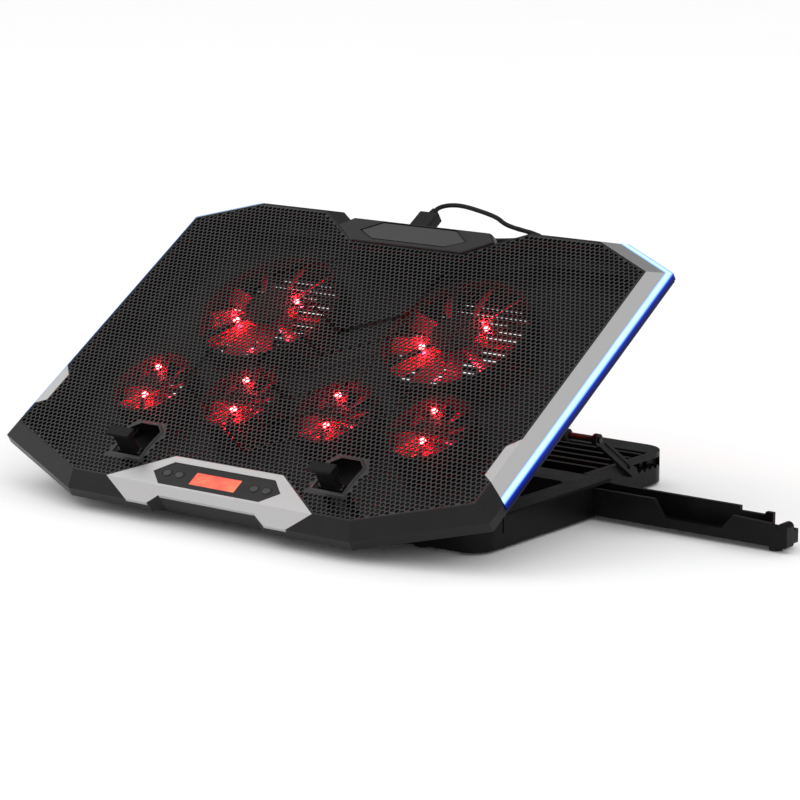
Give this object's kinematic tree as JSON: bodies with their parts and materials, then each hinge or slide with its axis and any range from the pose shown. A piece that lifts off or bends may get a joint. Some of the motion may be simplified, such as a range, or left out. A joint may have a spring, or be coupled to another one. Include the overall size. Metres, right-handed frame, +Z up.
{
  "type": "laptop cooling pad",
  "caption": "Tilting laptop cooling pad with a perforated top, spinning fans, flip-up laptop stops, a propped hinged stand and pull-out phone arms.",
  "frame": {"origin": "on the table, at the middle of the whole object's footprint box at rest", "axes": "+X to the user's right along the pad's hinge, +Y away from the user, +Z up"},
  "size_m": [0.61, 0.2926, 0.1745],
  "materials": {
    "black_plastic": "fine textured black",
    "stand_plastic": "satin black",
    "mesh_steel": "powder-coated perforated sheet",
    "silver_plastic": "satin silver paint",
    "light_diffuser": "frosted, lit white-blue",
    "badge_plastic": "satin, no marking",
    "panel_plastic": "semi-gloss black",
    "display_glass": "lit orange-red display",
    "display_body": "white moulding",
    "board": "green circuit board",
    "button_rubber": "satin",
    "steel": "blackened",
    "rubber": "matte",
    "fan_frame": "black",
    "fan_blade": "smoked translucent",
    "red_lamp": "lit red",
    "cable_rubber": "satin black"
  },
  "bodies": {
    "base": {"base_frame": "stand_plastic", "tilt_pins": "steel", "rubber_feet": "rubber"},
    "pad": {"top_bezel": "black_plastic", "mesh_panel": "mesh_steel", "bottom_shell": "black_plastic", "left_side_trim": "silver_plastic", "right_side_trim": "silver_plastic", "left_light_bar": "light_diffuser", "right_light_bar": "light_diffuser", "front_trim": "silver_plastic", "rear_block": "black_plastic", "badge_plate": "badge_plastic", "control_panel": "panel_plastic", "display_window": "display_glass", "display_module": "display_body", "control_board": "board", "stop_brackets": "steel", "stop_pins": "steel", "shell_screws": "steel", "fan_lamps": "red_lamp", "light_boards": "board", "usb_sockets": "steel", "usb_plug": "cable_rubber", "usb_cable": "cable_rubber", "laptop_plug": "cable_rubber", "prop_pins": "steel", "left_large_fan_housing": "fan_frame", "right_large_fan_housing": "fan_frame", "outer_left_fan_housing": "fan_frame", "inner_left_fan_housing": "fan_frame", "inner_right_fan_housing": "fan_frame", "outer_right_fan_housing": "fan_frame"},
    "prop": {"prop_frame": "stand_plastic", "crossbar": "steel", "crossbar_sleeves": "rubber"},
    "stays": {"left_stay": "stand_plastic", "right_stay": "stand_plastic"},
    "left_phone_arm": {"left_phone_arm": "stand_plastic", "left_arm_foot": "rubber"},
    "right_phone_arm": {"right_phone_arm": "stand_plastic", "right_arm_foot": "rubber"},
    "left_stop": {"left_laptop_stop": "stand_plastic"},
    "right_stop": {"right_laptop_stop": "stand_plastic"},
    "left_large_fan_rotor": {"left_large_fan_rotor": "fan_blade"},
    "right_large_fan_rotor": {"right_large_fan_rotor": "fan_blade"},
    "outer_left_fan_rotor": {"outer_left_fan_rotor": "fan_blade"},
    "inner_left_fan_rotor": {"inner_left_fan_rotor": "fan_blade"},
    "inner_right_fan_rotor": {"inner_right_fan_rotor": "fan_blade"},
    "outer_right_fan_rotor": {"outer_right_fan_rotor": "fan_blade"},
    "fan_down_button": {"fan_down_button": "button_rubber"},
    "fan_up_button": {"fan_up_button": "button_rubber"},
    "light_button": {"light_button": "button_rubber"},
    "power_button": {"power_button": "button_rubber"}
  },
  "joints": [
    {"name": "pad_tilt", "type": "hinge", "parent": "base", "child": "pad", "pos_m": [0, -0.07972, 0.019], "axis": [1, 0, 0], "range_deg": [-32.5, 0]},
    {"name": "prop_fold", "type": "hinge", "parent": "pad", "child": "prop", "pos_m": [0, -0.00815, 0.07657], "axis": [1, 0, 0], "range_deg": [-0.5, 59.47]},
    {"name": "stay_fold", "type": "hinge", "parent": "prop", "child": "stays", "pos_m": [0, 0.05728, 0.044], "axis": [1, 0, 0], "range_deg": [-7.62, 0.5]},
    {"name": "left_arm_slide", "type": "slide", "parent": "base", "child": "left_phone_arm", "axis": [1, 0, 0], "range_m": [0, 0.122]},
    {"name": "right_arm_slide", "type": "slide", "parent": "base", "child": "right_phone_arm", "axis": [-1, 0, 0], "range_m": [0, 0.122]},
    {"name": "left_stop_fold", "type": "hinge", "parent": "pad", "child": "left_stop", "pos_m": [-0.081, -0.1216, 0.0369], "axis": [1, 0, 0], "range_deg": [-90, 0]},
    {"name": "right_stop_fold", "type": "hinge", "parent": "pad", "child": "right_stop", "pos_m": [0.081, -0.1216, 0.0369], "axis": [1, 0, 0], "range_deg": [-90, 0]},
    {"name": "left_large_fan_spin", "type": "hinge", "parent": "pad", "child": "left_large_fan_rotor", "pos_m": [-0.076, 0.00944, 0.10853], "axis": [0, -0.5373, 0.8434], "continuous": true},
    {"name": "right_large_fan_spin", "type": "hinge", "parent": "pad", "child": "right_large_fan_rotor", "pos_m": [0.076, 0.00944, 0.10853], "axis": [0, -0.5373, 0.8434], "continuous": true},
    {"name": "outer_left_fan_spin", "type": "hinge", "parent": "pad", "child": "outer_left_fan_rotor", "pos_m": [-0.11175, -0.06309, 0.06232], "axis": [0, -0.5373, 0.8434], "continuous": true},
    {"name": "inner_left_fan_spin", "type": "hinge", "parent": "pad", "child": "inner_left_fan_rotor", "pos_m": [-0.03725, -0.06309, 0.06232], "axis": [0, -0.5373, 0.8434], "continuous": true},
    {"name": "inner_right_fan_spin", "type": "hinge", "parent": "pad", "child": "inner_right_fan_rotor", "pos_m": [0.03725, -0.06309, 0.06232], "axis": [0, -0.5373, 0.8434], "continuous": true},
    {"name": "outer_right_fan_spin", "type": "hinge", "parent": "pad", "child": "outer_right_fan_rotor", "pos_m": [0.11175, -0.06309, 0.06232], "axis": [0, -0.5373, 0.8434], "continuous": true},
    {"name": "fan_down_button_press", "type": "slide", "parent": "pad", "child": "fan_down_button", "axis": [0, 0.5373, -0.8434], "range_m": [0, 0.0008], "stiffness_N_per_m": 400, "springref_m": -0.001},
    {"name": "fan_up_button_press", "type": "slide", "parent": "pad", "child": "fan_up_button", "axis": [0, 0.5373, -0.8434], "range_m": [0, 0.0008], "stiffness_N_per_m": 400, "springref_m": -0.001},
    {"name": "light_button_press", "type": "slide", "parent": "pad", "child": "light_button", "axis": [0, 0.5373, -0.8434], "range_m": [0, 0.0008], "stiffness_N_per_m": 400, "springref_m": -0.001},
    {"name": "power_button_press", "type": "slide", "parent": "pad", "child": "power_button", "axis": [0, 0.5373, -0.8434], "range_m": [0, 0.0008], "stiffness_N_per_m": 400, "springref_m": -0.001}
  ],
  "couplings": [
    {"joint": "prop_fold", "follows": "pad_tilt", "ratio": -1.8144},
    {"joint": "stay_fold", "follows": "pad_tilt", "ratio": 0.21921}
  ]
}
